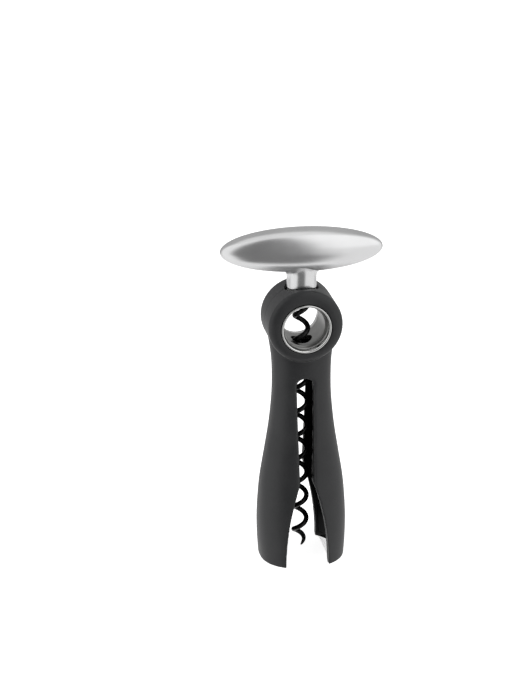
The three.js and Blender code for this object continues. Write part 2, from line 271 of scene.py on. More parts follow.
@dataclass(frozen=True)
class SoftTouch(Finish):
    """Matt soft-touch lacquer over moulded plastic: a fine suede grain with faint clouding."""

    name: str = "soft_touch"
    dark: Triple = (0.021, 0.0215, 0.023)
    light: Triple = (0.028, 0.0285, 0.030)
    rubbed: Triple = (0.07, 0.07, 0.072)
    foot: Point = (0.0002, 0.0022)

    def draw(self, sheet: Sheet) -> None:
        """Lay out the finish's nodes."""
        cloud = sheet.noise(70, 4).rise(0.3, 0.7)
        grain = sheet.noise(5200, 2)
        rub = sheet.noise(240, 5).rise(0.62, 0.8)
        foot = 1.0 - sheet.axes()[2].rise(*self.foot)
        colour = sheet.blend(cloud, self.dark, self.light)
        sheet.surface({
            "Base Color": sheet.blend(foot * rub * 0.6, colour, self.rubbed),
            "Roughness": 0.40 + cloud * 0.06 + (grain - 0.5) * 0.12 - foot * rub * 0.1,
            "Normal": sheet.bump(grain, 0.00003, 0.6),
            "Sheen Weight": 0.1,
            "Sheen Roughness": 0.4,
            "IOR": 1.46,
        })


@dataclass(frozen=True)
class BlackPlastic(Finish):
    """Moulded black plastic, from satin nylon to a gloss liner."""

    name: str
    colour: Triple
    lifted: Triple
    roughness: float
    grain_depth: float
    refraction: float = 1.16

    def draw(self, sheet: Sheet) -> None:
        """Lay out the finish's nodes."""
        flow = sheet.noise(55, 3, sheet.stretched((1.0, 1.0, 0.25))).rise(0.25, 0.75)
        grain = sheet.noise(3600, 2)
        sheet.surface({
            "Base Color": sheet.blend(flow, self.colour, self.lifted),
            "Roughness": self.roughness + flow * 0.06 + (grain - 0.5) * 0.08,
            "Normal": sheet.bump(grain, self.grain_depth, 0.5),
            "IOR": self.refraction,
        })


@dataclass(frozen=True)
class SatinAluminium(Finish):
    """Cast, blasted and lightly tumbled aluminium, duller under the grip where polishing can't reach."""

    name: str = "satin_aluminium"
    dull: Triple = (0.80, 0.80, 0.805)
    bright: Triple = (0.87, 0.87, 0.875)
    roughness: float = 0.22
    belly: Point = (0.1705, 0.1745)
    stem_edge: Point = (0.0085, 0.0105)
    belly_dulling: float = 0.33

    def draw(self, sheet: Sheet) -> None:
        """Lay out the finish's nodes."""
        cloud = sheet.noise(45, 4).rise(0.3, 0.7)
        blast = sheet.noise(4200, 3)
        hair = sheet.noise(900, 3, sheet.stretched((0.05, 1.0, 1.0)))
        beside_stem = sheet.radius_about(Axis.UP).rise(*self.stem_edge)
        belly = beside_stem * (1.0 - sheet.axes()[2].rise(*self.belly))
        wear = cloud * 0.03 + (blast - 0.5) * 0.08 + (hair - 0.5) * 0.05
        sheet.surface({
            "Base Color": sheet.blend(cloud, self.dull, self.bright),
            "Metallic": 1.0,
            "Roughness": self.roughness + belly * self.belly_dulling + wear,
            "Normal": sheet.bump(blast + hair * 0.5, 0.000012, 0.35),
        })


@dataclass(frozen=True)
class TurnedSteel(Finish):
    """Steel with fine circular tool marks, polished or satin."""

    name: str
    axis: Axis
    centre_z: float
    dull: Triple
    bright: Triple
    roughness: float
    groove_depth: float

    def draw(self, sheet: Sheet) -> None:
        """Lay out the finish's nodes."""
        radius = sheet.radius_about(self.axis, (self.centre_z - FOOT_Z) * MM)
        length = sheet.axes()[2 if self.axis is Axis.UP else 1]
        ring = sheet.node("ShaderNodeCombineXYZ", {0: radius, 1: length})
        marks = sheet.noise(5200, 3, ring.outputs[0])
        smear = sheet.noise(160, 4).rise(0.35, 0.75)
        sheet.surface({
            "Base Color": sheet.blend(smear, self.dull, self.bright),
            "Metallic": 1.0,
            "Roughness": self.roughness + (marks - 0.5) * 0.12 + smear * 0.04,
            "Normal": sheet.bump(marks, self.groove_depth, 0.5),
        })


@dataclass(frozen=True)
class CoatedWire(Finish):
    """Black low-friction coating over steel, with a little steel showing at the ground point."""

    name: str = "coated_steel"
    black: Triple = (0.003, 0.003, 0.0032)
    grey: Triple = (0.008, 0.008, 0.0085)
    steel: Triple = (0.42, 0.42, 0.43)
    bare: Point = (0.0039, 0.0045)
    ragged: float = 0.0012

    def draw(self, sheet: Sheet) -> None:
        """Lay out the finish's nodes."""
        streak = sheet.noise(420, 4).rise(0.35, 0.75)
        grain = sheet.noise(3800, 2)
        height = sheet.axes()[2] + (grain - 0.5) * self.ragged
        bare = 1.0 - height.rise(*self.bare)
        coat = sheet.blend(streak, self.black, self.grey)
        sheet.surface({
            "Base Color": sheet.blend(bare, coat, self.steel),
            "Metallic": bare,
            "Roughness": 0.24 + streak * 0.1 + (grain - 0.5) * 0.06,
            "Normal": sheet.bump(grain, 0.00001, 0.4),
            "IOR": 1.4,
        })


# ------------------------------------------------------------------ the bench


class Cut(Enum):
    """How one solid acts on another."""

    AWAY = "DIFFERENCE"
    JOIN = "UNION"
    KEEP = "INTERSECT"


def take(piece: Piece) -> None:
    """Leave this piece alone selected and active."""
    bpy.ops.object.select_all(action="DESELECT")
    piece.select_set(True)
    bpy.context.view_layer.objects.active = piece


@contextmanager
def editing(piece: Piece) -> Iterator[None]:
    """Edit mode on one piece, with all of it selected at the start."""
    take(piece)
    bpy.ops.object.mode_set(mode="EDIT")
    bpy.ops.mesh.select_all(action="SELECT")
    yield
    bpy.ops.object.mode_set(mode="OBJECT")


def started(name: str) -> Piece:
    """Name the primitive that was just added."""
    piece = bpy.context.object
    piece.name = name
    piece.data.name = name
    return piece


def added(name: str, data: bpy.types.ID) -> Piece:
    """A new object in the scene that shows the given data."""
    made = bpy.data.objects.new(name, data)
    bpy.context.collection.objects.link(made)
    return made


def settle(piece: Piece) -> Piece:
    """Put a piece's place into its mesh, weld its doubles and turn its faces out."""
    take(piece)
    bpy.ops.object.transform_apply(location=True, rotation=True, scale=True)
    with editing(piece):
        bpy.ops.mesh.remove_doubles(threshold=0.002 * MM)
        bpy.ops.mesh.normals_make_consistent(inside=False)
    return piece


def apply_modifier(piece: Piece, kind: str, **settings: object) -> None:
    """Add a modifier with the given settings and apply it.

    Args:
        piece: The piece that it changes.
        kind: The modifier's type.
        settings: Its properties.
    """
    take(piece)
    modifier = piece.modifiers.new(kind.lower(), kind)
    for name, value in settings.items():
        setattr(modifier, name, value)
    bpy.ops.object.modifier_apply(modifier=modifier.name)


def combine(piece: Piece, tool: Piece, how: Cut) -> Piece:
    """Join a tool to a solid or cut it away, and use the tool up.

    Args:
        piece: The solid that changes.
        tool: The solid that acts on it.
        how: The action.

    Returns:
        The changed solid.
    """
    apply_modifier(piece, "BOOLEAN", operation=how.value, solver="MANIFOLD", object=tool)
    bpy.data.meshes.remove(tool.data)
    return piece


def rounded(outline: Sequence[tuple[float, ...]], segments: int = 4) -> list[Point]:
    """Round the corners of an open or closed outline.

    Args:
        outline: Points of (radius, along) or (radius, along, corner radius), in millimetres.
        segments: Steps round each corner.

    Returns:
        The outline's points with each marked corner replaced by a curve.
    """
    points: list[Point] = []
    closed = outline[0][:2] == outline[-1][:2]
    for k, point in enumerate(outline):
        corner = point[2] if len(point) > 2 else 0.0
        at = Vector(point[:2])
        if not corner:
            points.append(tuple(at))
            continue
        before = Vector(outline[k - 1][:2]) if k or not closed else Vector(outline[-2][:2])
        after = Vector(outline[k + 1][:2]) if k + 1 < len(outline) else Vector(outline[1][:2])
        start = at + (before - at).normalized() * corner
        end = at + (after - at).normalized() * corner
        for step in range(segments + 1):
            t = step / segments
            points.append(tuple(start * (1 - t) ** 2 + at * 2 * t * (1 - t) + end * t ** 2))
    return points


def turned(
    name: str, outline: Sequence[Point], axis: Axis = Axis.UP, centre_z: float = 0.0, corners: int = 96
) -> Piece:
    """Turn an outline: a circle is added and extruded and resized from each point to the next.

    Args:
        name: The piece's name.
        outline: Points of (radius, along the axis) in millimetres. One that comes back to its
            first point makes a ring, and any other is capped at both ends.
        axis: The line that it is turned about.
        centre_z: The height of a level axis, in millimetres.
        corners: Steps round the piece.

    Returns:
        The closed piece.
    """
    upright = axis is Axis.UP
    closed = math.dist(outline[0], outline[-1]) < 1e-6

    def centre(along: float) -> Triple:
        """The point on the axis at a distance along it, in metres."""
        return (0.0, 0.0, along * MM) if upright else (0.0, along * MM, centre_z * MM)

    radius, along = outline[0]
    bpy.ops.mesh.primitive_circle_add(
        vertices=corners,
        radius=radius * MM,
        fill_type="NOTHING" if closed else "NGON",
        location=centre(along),
        rotation=(0.0, 0.0, 0.0) if upright else (math.pi / 2, 0.0, 0.0),
    )
    piece = started(name)
    with editing(piece):
        for (radius, along), (next_radius, next_along) in pairwise(outline):
            step = (next_along - along) * MM
            shift = (0.0, 0.0, step) if upright else (0.0, step, 0.0)
            grow = next_radius / radius
            bpy.ops.mesh.extrude_region_move(TRANSFORM_OT_translate={"value": shift})
            value = (grow, grow, 1.0) if upright else (grow, 1.0, grow)
            bpy.ops.transform.resize(value=value, center_override=centre(next_along))
    return settle(piece)


@dataclass(frozen=True)
class Oval:
    """Oval sections up a solid: (height, half-width, half-depth) in millimetres.

    The squareness is the power of the section's curve: 2 is an ellipse, and more is squarer.
    """

    sections: tuple[Triple, ...]
    squareness: float = 2.0

    def at(self, height: float) -> Point:
        """The half-width and half-depth at a height, on a smooth curve through the sections."""
        rows = self.sections
        height = min(max(height, rows[0][0]), rows[-1][0])
        k = max(i for i in range(len(rows) - 1) if rows[i][0] <= height)
        low, high = rows[k], rows[k + 1]
        span = high[0] - low[0]
        t = (height - low[0]) / span

        def slope(i: int, key: int) -> float:
            """The change of a half-size with height at a section, from its neighbours."""
            below, above = rows[max(i - 1, 0)], rows[min(i + 1, len(rows) - 1)]
            return (above[key] - below[key]) / (above[0] - below[0])

        def curve(key: int) -> float:
            """The half-width or half-depth at t, on a cubic with those slopes at its ends."""
            return (
                (2 * t ** 3 - 3 * t ** 2 + 1) * low[key]
                + (t ** 3 - 2 * t ** 2 + t) * span * slope(k, key)
                + (3 * t ** 2 - 2 * t ** 3) * high[key]
                + (t ** 3 - t ** 2) * span * slope(k + 1, key)
            )

        return curve(1), curve(2)

    def solid(
        self, name: str, low: float, high: float, inset: float = 0.0, pitch: float = 2.5
    ) -> Piece:
        """Loft the sections: a circle is added, made oval, and extruded and resized up the solid.

        Args:
            name: The solid's name.
            low: The height of its base.
            high: The height of its top.
            inset: How far its wall is pulled in.
            pitch: The height of each step.

        Returns:
            The closed solid.
        """
        steps = max(2, round((high - low) / pitch))
        heights = [low + (high - low) * k / steps for k in range(steps + 1)]
        sizes = [tuple(half - inset for half in self.at(height)) for height in heights]
        base = (0, 0, low * MM)
        bpy.ops.mesh.primitive_circle_add(vertices=128, radius=MM, fill_type="NGON", location=base)
        piece = started(name)
        for vertex in piece.data.vertices:
            for axis in (0, 1):
                share = vertex.co[axis] / MM
                vertex.co[axis] = math.copysign(abs(share) ** (2.0 / self.squareness), share) * MM
        with editing(piece):
            wide, deep = sizes[0]
            bpy.ops.transform.resize(value=(wide, deep, 1.0), center_override=base)
            for k in range(steps):
                grow = [after / before for before, after in zip(sizes[k], sizes[k + 1])]
                rise = (heights[k + 1] - heights[k]) * MM
                bpy.ops.mesh.extrude_region_move(TRANSFORM_OT_translate={"value": (0, 0, rise)})
                bpy.ops.transform.resize(value=(*grow, 1.0), center_override=(0, 0, heights[k + 1] * MM))
        return settle(piece)


def slab(name: str, low: Sequence[float], high: Sequence[float]) -> Piece:
    """A block between two corners in millimetres, used to keep or cut a part of a solid."""
    centre = [(a + b) / 2 * MM for a, b in zip(low, high)]
    sides = [(b - a) * MM for a, b in zip(low, high)]
    bpy.ops.mesh.primitive_cube_add(size=1.0, location=centre, scale=sides)
    return settle(started(name))


def disc(
    name: str, radius: float, low: float, high: float, axis: Axis = Axis.UP, centre_z: float = 0.0
) -> Piece:
    """A plain drill for a round hole along an axis."""
    return turned(name, [(radius, low), (radius, high)], axis, centre_z)


# ------------------------------------------------------------------ sub-assemblies


@dataclass
class SubAssembly:
    """Pieces that share a rigid body of the frame."""

    body: str = "body"

    def hand_over(self, piece: Piece, node: str, finish: Material, sharp_from: float = 32.0) -> None:
        """Dress a finished piece and put it in the place of its frame node.

        Args:
            piece: The finished piece.
            node: The frame node that it stands for.
            finish: Its material.
            sharp_from: The angle in degrees from which its edges stay crisp.
        """
        take(piece)
        bpy.ops.object.shade_smooth_by_angle(angle=math.radians(sharp_from))
        piece.location.z = -FOOT_Z * MM
        bpy.ops.object.transform_apply(location=True, rotation=False, scale=False)
        piece.data.materials.clear()
        piece.data.materials.append(finish)
        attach(piece, self.body)
        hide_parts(node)
        log.info("%s stands for %s on %s: %d faces", piece.name, node, self.body, len(piece.data.polygons))


@dataclass(frozen=True)
class BodyForm:
    """The outer form of body and head, and the openings that run through it."""

    oval: Oval = Oval((
        (FOOT_Z, 23.8, 21.7), (10, 24.5, 21.35), (22, 24.7, 20.7), (34, 24.15, 19.7), (46, 23.05, 18.3),
        (62, 20.5, 16.2), (78, 18.0, 14.4), (94, 16.4, 12.8), (106, 16.05, 11.9), (118, 16.5, 11.3),
        (132, 18.5, 11.0),
    ), 2.3)
    head_z: float = 138.5
    head_radius: float = 20.15
    head_half_length: float = 14.0
    head_round: Point = (4.6, 2.9)
    mouth_half_width: float = 11.9
    mouth_height: float = 47.5
    throat_half_width: float = 4.05
    throat_height: float = 2.0
    slot_low_half_width: float = 3.7
    slot_high_half_width: float = 4.55
    slot_top: float = 107.9
    slot_corner: float = 3.8
    recess_radius: float = 9.0
    recess_floor: float = 153.4
    top: float = 170.0

    def solid(self, name: str, inset: float = 0.0) -> Piece:
        """Body and head in one solid, pulled in all over by the inset."""
        wide, deep = self.head_round
        quarter = [math.radians(6 * k) for k in range(16)]
        edge = [
            (
                self.head_radius - wide + (wide - inset) * math.cos(turn),
                self.head_half_length - deep + (deep - inset) * math.sin(turn),
            )
            for turn in quarter
        ]
        front = [(radius, -along) for radius, along in reversed(edge)]
        head = turned(name + "_head", front + edge, Axis.ACROSS, self.head_z, 192)
        return combine(self.oval.solid(name, FOOT_Z, self.oval.sections[-1][0], inset), head, Cut.JOIN)

    def recess_tool(self) -> Piece:
        """The cutter for the shells' round recess, which goes on below the fork's floor."""
        return disc("recess_tool", self.recess_radius, self.recess_floor - 2.0, self.top)

    def slot_half_width(self, height: float) -> float:
        """The slot's half-width at a height, over the mouth, the taper and the round top."""
        if height <= self.mouth_height:
            share = (height / self.mouth_height) ** 2
            return between(self.mouth_half_width, self.throat_half_width, share)
        taper_from = self.mouth_height + self.throat_height
        if height < taper_from:
            share = (height - self.mouth_height) / self.throat_height
            return between(self.throat_half_width, self.slot_low_half_width, share)
        corner_z = self.slot_top - self.slot_corner
        share = min(1.0, (height - taper_from) / (corner_z - taper_from))
        width = between(self.slot_low_half_width, self.slot_high_half_width, share)
        above = max(0.0, height - corner_z)
        return width - self.slot_corner + math.sqrt(max(0.0, self.slot_corner ** 2 - above ** 2))

    def slot_tool(self) -> Piece:
        """The cutter for slot and mouth: a block extruded up and narrowed step by step."""
        corner_z = self.slot_top - self.slot_corner
        heights = [self.mouth_height * k / 16 for k in range(17)]
        heights += [self.mouth_height + self.throat_height, corner_z]
        heights += [corner_z + self.slot_corner * math.sin(math.radians(9 * k)) for k in range(1, 11)]
        width = self.mouth_half_width
        tool = slab("slot_tool", (-width, -BEYOND, FOOT_Z - 1), (width, BEYOND, 0.0))
        with editing(tool):
            bpy.ops.mesh.select_all(action="DESELECT")
        for face in tool.data.polygons:
            face.select = face.normal.z > 0.5
        take(tool)
        bpy.ops.object.mode_set(mode="EDIT")
        bpy.ops.mesh.select_mode(type="FACE")
        for low, high in pairwise(heights):
            grow = self.slot_half_width(high) / self.slot_half_width(low)
            bpy.ops.mesh.extrude_region_move(TRANSFORM_OT_translate={"value": (0, 0, (high - low) * MM)})
            bpy.ops.transform.resize(value=(grow, 1.0, 1.0), center_override=(0, 0, high * MM))
        bpy.ops.mesh.select_mode(type="VERT")
        bpy.ops.object.mode_set(mode="OBJECT")
        return settle(tool)


@dataclass
class Shells(SubAssembly):
    """The two soft-touch half shells."""

    form: BodyForm = BodyForm()
    wall: float = 1.9
    parting: float = 0.09
    window_radius: float = 13.85
    voxel: float = 0.45
    softening: int = 6
    slot_softening: int = 60
    slot_edge_within: float = 9.0
    slot_edge_from: Point = (42.0, 54.0)
    slot_edge_over_top: float = 6.0

    def soften_slot(self, whole: Piece) -> None:
        """Roll the slot's long edges over more than the others, fading in above the mouth."""
        edge = whole.vertex_groups.new(name="slot_edge")
        low, high = self.slot_edge_from
        top = self.form.slot_top + self.slot_edge_over_top
        for vertex in whole.data.vertices:
            x, _, z = vertex.co / MM
            if abs(x) < self.slot_edge_within and low < z < top:
                edge.add([vertex.index], ease((z - low) / (high - low)), "REPLACE")
        apply_modifier(whole, "SMOOTH", factor=0.5, iterations=self.slot_softening, vertex_group=edge.name)

    def make(self, finish: Material) -> None:
        """Model both halves and hand them over."""
        whole = self.form.solid("shell_form")
        combine(whole, self.form.slot_tool(), Cut.AWAY)
        window = disc("window_tool", self.window_radius, -BEYOND, BEYOND, Axis.ACROSS, WINDOW_Z)
        combine(whole, window, Cut.AWAY)
        combine(whole, self.form.recess_tool(), Cut.AWAY)
        voxel = self.voxel * 1.0
        apply_modifier(whole, "REMESH", mode="VOXEL", voxel_size=voxel * MM)
        apply_modifier(whole, "SMOOTH", factor=0.5, iterations=self.softening)
        self.soften_slot(whole)
        combine(whole, self.form.solid("shell_hollow", self.wall), Cut.AWAY)
        combine(whole, self.form.recess_tool(), Cut.AWAY)
        for side, name in ((-1, "shell_front"), (1, "shell_back")):
            half = whole.copy()
            half.data = whole.data.copy()
            bpy.context.collection.objects.link(half)
            half.name = name + "_skin"
            near, far = sorted((side * self.parting, side * BEYOND))
            tool = slab("half_tool", (-BEYOND, near, -BEYOND), (BEYOND, far, BEYOND))
            combine(half, tool, Cut.KEEP)
            self.hand_over(half, name, finish, 40)
        bpy.data.meshes.remove(whole.data)


@dataclass
class Fork(SubAssembly):
    """The load-bearing fork inside the shells, and the neck guides let into its legs."""

    form: BodyForm = BodyForm()
    bell: Oval = Oval((
        (FOOT_Z - 1, 20.4, 20.4), (1.5, 18.8, 18.8), (20, 18.1, 18.0), (34, 16.6, 16.2), (45, 15.2, 15.2),
    ))
    chamber: Oval = Oval((
        (44, 11.3, 11.3), (74, 11.3, 11.3), (90, 11.2, 10.2), (102, 10.8, 9.0), (108, 8.2, 7.0),
    ))
    bell_pitch: float = 1.5
    inset: float = 2.2
    lip_stop: float = 45.0
    guide_wall: float = 1.0
    guide_low: float = 3.0
    guide_high: float = 43.0
    guide_half_depth: float = 13.0
    sleeve_radius: float = 13.4
    bush_radius: float = 7.9
    bush_low: float = 112.2
    web_hole: float = 5.7

    def bell_tool(self) -> Piece:
        """The cutter for the bell that the bottle's lip goes up into."""
        return self.bell.solid("bell_tool", FOOT_Z - 1, self.lip_stop, 0, self.bell_pitch)

    def guide_band(self, wall: float, spare: float) -> Piece:
        """The band of the bell's wall that the guides fill, wider and thicker by the spare."""
        low, high = self.guide_low - spare, self.guide_high + spare
        band = self.bell.solid("guide_band", low, high, -wall - spare, self.bell_pitch)
        depth = self.guide_half_depth + spare
        tool = slab("band_tool", (-BEYOND, -depth, -BEYOND), (BEYOND, depth, BEYOND))
        return combine(band, tool, Cut.KEEP)

    def make(self, nylon: Material, gloss: Material) -> None:
        """Model the fork and both guides and hand them over."""
        fork = self.form.solid("fork", self.inset)
        floor = self.form.recess_floor
        for tool in (
            self.bell_tool(),
            self.chamber.solid("chamber_tool", self.lip_stop - 1, 108, 0, 2.0),
            self.guide_band(self.guide_wall, CLEARANCE),
            self.form.slot_tool(),
            disc("sleeve_tool", self.sleeve_radius, -BEYOND, BEYOND, Axis.ACROSS, WINDOW_Z),
            disc("web_tool", self.web_hole, self.form.slot_top - 3, floor + 1),
            disc("bush_tool", self.bush_radius, self.bush_low, WINDOW_Z),
            disc("floor_tool", self.form.recess_radius, floor, self.form.top),
        ):
            combine(fork, tool, Cut.AWAY)
        self.hand_over(fork, "frame_fork", nylon)
        for side, name in ((-1, "neck_guide_left"), (1, "neck_guide_right")):
            guide = self.guide_band(self.guide_wall, 0.0)
            combine(guide, self.bell_tool(), Cut.AWAY)
            near, far = sorted((0.0, side * BEYOND))
            tool = slab("leg_tool", (near, -BEYOND, -BEYOND), (far, BEYOND, BEYOND))
            combine(guide, tool, Cut.KEEP)
            guide.name = name + "_liner"
            corners = {"limit_method": "ANGLE", "angle_limit": math.radians(50)}
            apply_modifier(guide, "BEVEL", width=0.25 * MM, segments=2, **corners)
            self.hand_over(guide, name, gloss, 40)


@dataclass
class WindowLining(SubAssembly):
    """Sleeve and trim rings of the window, and the bush that guides the worm below it."""

    face: float = 14.25
    flange: float = 1.6
    ring_radius: float = 13.5
    mouth_radius: float = 12.2
    mouth_flare: float = 0.45
    flare_depth: float = 0.7
    mouth_draft: float = 0.08
    mouth_depth: float = 1.5
    step_depth: float = 1.9
    throat_radius: float = 11.9
    ring_inner: float = 9.3
    sleeve_radius: float = 13.1
    bore: float = 11.0
    sleeve_half_length: float = 9.0
    corners: int = 160
    worm_hole: float = 5.7
    bush: tuple[float, float, float, float] = (7.6, 5.4, 112.5, 124.0)

    def ring(self, side: int, name: str, polished: Material) -> None:
        """Turn one trim ring: a rolled flange on the face and a short tube behind it.

        Args:
            side: -1 at the front, +1 at the back.
            name: The frame node that it stands for.
            polished: Its finish.
        """
        throat = self.throat_radius if side < 0 else self.bore
        flange = self.face - self.flange
        middle = (throat + self.sleeve_radius) / 2
        outline = rounded([
            (middle, self.ring_inner),
            (self.sleeve_radius, self.ring_inner),
            (self.sleeve_radius, flange),
            (self.ring_radius, flange, 0.15),
            (self.ring_radius, self.face, 0.35),
            (self.mouth_radius + self.mouth_flare, self.face, 0.3),
            (self.mouth_radius, self.face - self.flare_depth, 0.25),
            (self.mouth_radius - self.mouth_draft, self.face - self.mouth_depth, 0.1),
            (throat, self.face - self.step_depth, 0.1),
            (throat, self.ring_inner, 0.25),
            (middle, self.ring_inner),
        ])
        outline = [(radius, side * along) for radius, along in outline]
        piece = turned(name + "_trim", outline, Axis.ACROSS, WINDOW_Z, self.corners)
        self.hand_over(piece, name, polished)

    def make(self, polished: Material, satin: Material, nylon: Material) -> None:
        """Model the lining and the bush and hand them over."""
        self.ring(-1, "window_ring_front", polished)
        self.ring(1, "window_ring_back", polished)
        half = self.sleeve_half_length
        sleeve = turned("sleeve_tube", rounded([
            (self.bore, -half + 0.01),
            (self.bore, -half, 0.12),
            (self.sleeve_radius, -half, 0.12),
            (self.sleeve_radius, half, 0.12),
            (self.bore, half, 0.12),
            (self.bore, -half + 0.01),
        ]), Axis.ACROSS, WINDOW_Z, self.corners)
        combine(sleeve, disc("hole_tool", self.worm_hole, -BEYOND, BEYOND), Cut.AWAY)
        self.hand_over(sleeve, "window_sleeve", satin)
        outer, inner, low, high = self.bush
        bush = turned("worm_bush", rounded([
            (inner, low + 3),
            (inner, low, 0.4),
            (outer, low, 0.5),
            (outer, high, 0.5),
            (inner, high, 0.8),
            (inner, low + 3),
        ]))
        self.hand_over(bush, "worm_guide_bush", nylon)


def thrust_ring(name: str, box: Sequence[Vector], bore: float = 5.4, roll: float = 0.2) -> Piece:
    """A flat steel ring with rolled edges that fills the box of its frame node.

    Args:
        name: The ring's name.
        box: The lowest and highest corners of the box, in metres.
        bore: The radius of the hole.
        roll: The size of the rolled edges.

    Returns:
        The ring.
    """
    low, high = (corner / MM for corner in box)
    foot, top, outer = low.z + FOOT_Z, high.z + FOOT_Z, high.x
    middle = (bore + outer) / 2
    return turned(name, rounded([
        (middle, foot), (outer, foot, roll), (outer, top, roll),
        (bore, top, roll), (bore, foot, roll), (middle, foot),
    ]))


@dataclass
class ThrustSeat(SubAssembly):
    """The steel seat in the recess in the head."""

    def make(self, satin: Material) -> None:
        """Model the seat at its frame node's size and hand it over."""
        self.hand_over(thrust_ring("seat_ring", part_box("thrust_seat")), "thrust_seat", satin)


@dataclass
class ThrustWasher(SubAssembly):
    """The loose washer under the stem."""

    body: str = "washer"

    def make(self, satin: Material) -> None:
        """Model the washer at its frame node's size and hand it over."""
        self.hand_over(thrust_ring("washer_ring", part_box("thrust_washer")), "thrust_washer", satin)


@dataclass
class TurningHandle(SubAssembly):
    """The grip and its stem, the plug in the stem, and the worm."""

    body: str = "handle_and_worm"
    grip_z: float = 178.0
    grip_half_length: float = 43.4
    grip_radius: float = 12.0
    grip_turn: float = -3.6
    stem_radius: float = 8.0
    foot_z: float = 156.3
    foot_round: float = 1.5
    flare: Triple = (161.0, 167.2, 10.8)
    flare_power: int = 4
    follow_from: float = 159.0
    plug: Triple = (5.6, 157.0, 168.0)
    wire_radius: float = 1.4
    coil_radius: float = 3.5
    pitch: float = 14.24
    phase_z: float = 19.56
    phase: float = -12.0
    tip_turn: float = -1.17
    tip_radius: float = 0.8
    tip_lead: float = 2.0
    open_turn: float = -0.65
    full_turn: float = -0.8
    lean: float = -0.5
    coil_top: float = 149.5
    shank_from: float = 155.2
    shank_top: float = 166.5
    point_radius: float = 0.12

    def grip(self) -> Piece:
        """The ellipsoidal grip, from a ball stretched along X."""
        middle = (0, 0, self.grip_z * MM)
        bpy.ops.mesh.primitive_uv_sphere_add(
            segments=160, ring_count=96, radius=MM, location=middle, rotation=(0, math.pi / 2, 0)
        )
        ball = started("handle_casting")
        bpy.ops.object.transform_apply(location=False, rotation=True, scale=False)
        with editing(ball):
            stretch = (self.grip_half_length, self.grip_radius, self.grip_radius)
            bpy.ops.transform.resize(value=stretch, center_override=middle)
        ball.rotation_euler = (0.0, 0.0, math.radians(self.grip_turn))
        return settle(ball)

    def underside(self, x: float, y: float) -> float:
        """The height of the grip's underside over a point, all in millimetres."""
        level = 1 - (x / self.grip_half_length) ** 2 - (y / self.grip_radius) ** 2
        return self.grip_z - self.grip_radius * math.sqrt(level)

    def stem(self) -> Piece:
        """The stem, with a rounded foot and a fillet whose rim follows the grip's underside."""
        low, high, wide = self.flare
        radius = self.stem_radius
        steps = 16
        outline = rounded([(2.0, self.foot_z), (radius, self.foot_z, self.foot_round), (radius, low)], 8)
        outline += [
            (between(radius, wide, (k / steps) ** self.flare_power), between(low, high, k / steps))
            for k in range(1, steps + 1)
        ]
        outline.append((radius - 1, high + 1.0))
        stem = turned("stem", outline, corners=160)
        beside = self.underside(radius, 0.0)
        for vertex in stem.data.vertices:
            x, y, z = vertex.co / MM
            share = ease((z - self.follow_from) / (high - self.follow_from))
            vertex.co.z += (self.underside(x, y) - beside) * share * MM
        return stem

    def worm_path(self) -> list[tuple[Vector, float]]:
        """The wire's centre line with its radius at each point, in metres."""
        tip = self.phase_z + self.tip_turn * self.pitch
        opened_at = self.phase_z + self.open_turn * self.pitch
        full_at = self.phase_z + self.full_turn * self.pitch
        steps = 460
        path = []
        for k in range(steps + 1):
            z = between(tip, self.shank_top, k / steps)
            opened = ease((z - tip + self.tip_lead) / (opened_at - tip + self.tip_lead))
            closed = ease((z - self.coil_top) / (self.shank_from - self.coil_top))
            radius = between(self.tip_radius, self.coil_radius, opened) * (1 - closed)
            angle = math.radians(self.phase) + math.tau * (z - self.phase_z) / self.pitch
            share = min(1.0, max(0.0, (z - tip) / (full_at - tip)))
            wire = between(self.point_radius, self.wire_radius, math.sqrt(share))
            aside = self.lean * max(0.0, 1 - z / self.shank_from)
            place = Vector((aside + radius * math.cos(angle), radius * math.sin(angle), z))
            path.append((place * MM, wire * MM))
        return path

    def worm(self) -> Piece:
        """The worm: a round wire along the coil, ground to a point, made a mesh."""
        path = self.worm_path()
        curve = bpy.data.curves.new("worm_wire", "CURVE")
        curve.dimensions = "3D"
        curve.bevel_depth = 1.0
        curve.bevel_resolution = 6
        curve.use_fill_caps = True
        spline = curve.splines.new("POLY")
        spline.points.add(len(path) - 1)
        for point, (place, radius) in zip(spline.points, path):
            point.co = (*place, 1.0)
            point.radius = radius
        take(added("worm_wire", curve))
        bpy.ops.object.convert(target="MESH")
        return settle(bpy.context.object)

    def make(self, aluminium: Material, satin: Material, coated: Material) -> None:
        """Model the handle, the plug and the worm and hand them over."""
        radius, low, high = self.plug
        handle = combine(self.grip(), self.stem(), Cut.JOIN)
        bore = disc("plug_tool", radius + CLEARANCE, self.foot_z - 1, high + CLEARANCE)
        combine(handle, bore, Cut.AWAY)
        self.hand_over(handle, "handle", aluminium, 40)
        outline = rounded([(1.0, low), (radius, low, 0.5), (radius, high, 0.5), (1.0, high)])
        plug = turned("shank_plug", outline)
        shank = disc("shank_tool", self.wire_radius + CLEARANCE, low - 1, self.shank_top + CLEARANCE)
        combine(plug, shank, Cut.AWAY)
        self.hand_over(plug, "worm_plug", satin)
        self.hand_over(self.worm(), "worm", coated, 50)


# ------------------------------------------------------------------ studio


